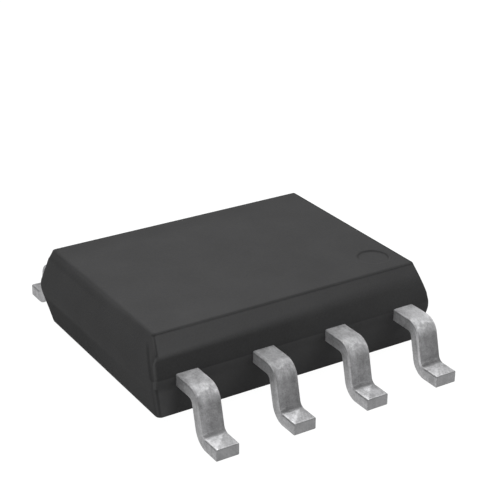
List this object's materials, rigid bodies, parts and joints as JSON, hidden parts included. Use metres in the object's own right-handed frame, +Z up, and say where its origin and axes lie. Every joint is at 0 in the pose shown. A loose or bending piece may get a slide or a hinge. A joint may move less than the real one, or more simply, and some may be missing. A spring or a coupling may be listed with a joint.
{
  "type": "eight-lead power mosfet chip",
  "caption": "Surface-mount power transistor: a flat dark moulded body with a bevelled side and a row of formed metal leads on each long side.",
  "frame": {"origin": "middle of the seating plane, under the feet", "axes": "+X along the body towards the end with the round mark, +Y from the bevelled side to the drain side, lead tip to lead tip, +Z up"},
  "size_m": [0.0048, 0.006, 0.0014],
  "materials": {
    "mould_compound": "matte",
    "tinned_copper": "satin",
    "silicon": "polished",
    "solder": "satin",
    "bond_aluminium": "satin",
    "bond_gold": "polished"
  },
  "bodies": {
    "root": {"mould_body": "mould_compound", "drain_frame": "tinned_copper", "source_frame": "tinned_copper", "gate_lead": "tinned_copper", "silicon_die": "silicon", "die_attach": "solder", "gate_wire": "bond_gold", "source_ribbon_1": "bond_aluminium", "source_ribbon_2": "bond_aluminium", "source_ribbon_3": "bond_aluminium"}
  },
  "joints": []
}
